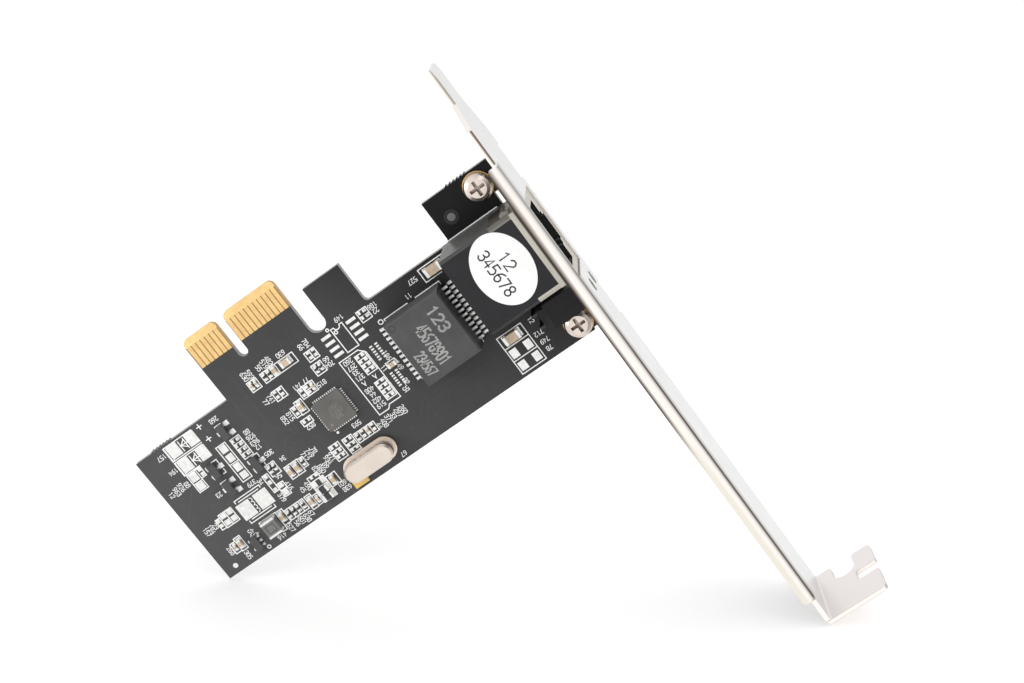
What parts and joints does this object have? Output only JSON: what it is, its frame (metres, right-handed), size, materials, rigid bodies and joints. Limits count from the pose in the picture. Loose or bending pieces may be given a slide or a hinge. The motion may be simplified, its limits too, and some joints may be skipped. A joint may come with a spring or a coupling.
{
  "type": "network interface card",
  "caption": "Short edge-connector network card with one shielded jack, indicator lamps and a full-height slotted mounting bracket.",
  "frame": {"origin": "on the bracket foot's seat, where it rests on the computer case's slot rail", "axes": "+Z towards the gold edge fingers, +X out through the bracket's outer face, +Y from the component side to the solder side"},
  "size_m": [0.1004, 0.0191, 0.1201],
  "materials": {
    "nickel_sheet": "nickel plated, smooth",
    "black_laminate": "satin solder mask",
    "gold_plate": "hard gold",
    "screw_metal": "nickel plated",
    "bare_solder": "tinned, bright",
    "black_moulding": "satin",
    "shield_metal": "nickel plated, bright",
    "white_label": "matt",
    "lens_plastic": "clear diffused",
    "dark_moulding": "fine grained",
    "amber_plastic": "translucent",
    "crystal_metal": "satin nickel",
    "ferrite": "matt",
    "tan_ceramic": "matt",
    "resistor_film": "gloss glaze"
  },
  "bodies": {
    "root": {"bracket": "nickel_sheet", "circuit_board": "black_laminate", "gold_fingers_front": "gold_plate", "gold_fingers_back": "gold_plate", "bracket_screws": "screw_metal", "screw_pad_rings": "bare_solder", "jack_housing": "black_moulding", "jack_shield": "shield_metal", "jack_contacts": "gold_plate", "jack_pins": "bare_solder", "jack_pegs": "black_moulding", "round_label": "white_label", "lamp_holder": "black_moulding", "lamp_lenses": "lens_plastic", "lamp_leads": "bare_solder", "magnetics_body": "dark_moulding", "magnetics_leads": "bare_solder", "magnetics_pads": "bare_solder", "controller_chip": "dark_moulding", "controller_pads": "bare_solder", "crystal_base": "amber_plastic", "crystal_can": "crystal_metal", "power_inductor": "ferrite", "inductor_terminals": "bare_solder", "transistor_bodies": "dark_moulding", "transistor_leads": "bare_solder", "capacitor_bodies": "tan_ceramic", "capacitor_terminals": "bare_solder", "resistor_bodies": "resistor_film", "resistor_terminals": "bare_solder", "solder_pads": "bare_solder"}
  },
  "joints": []
}
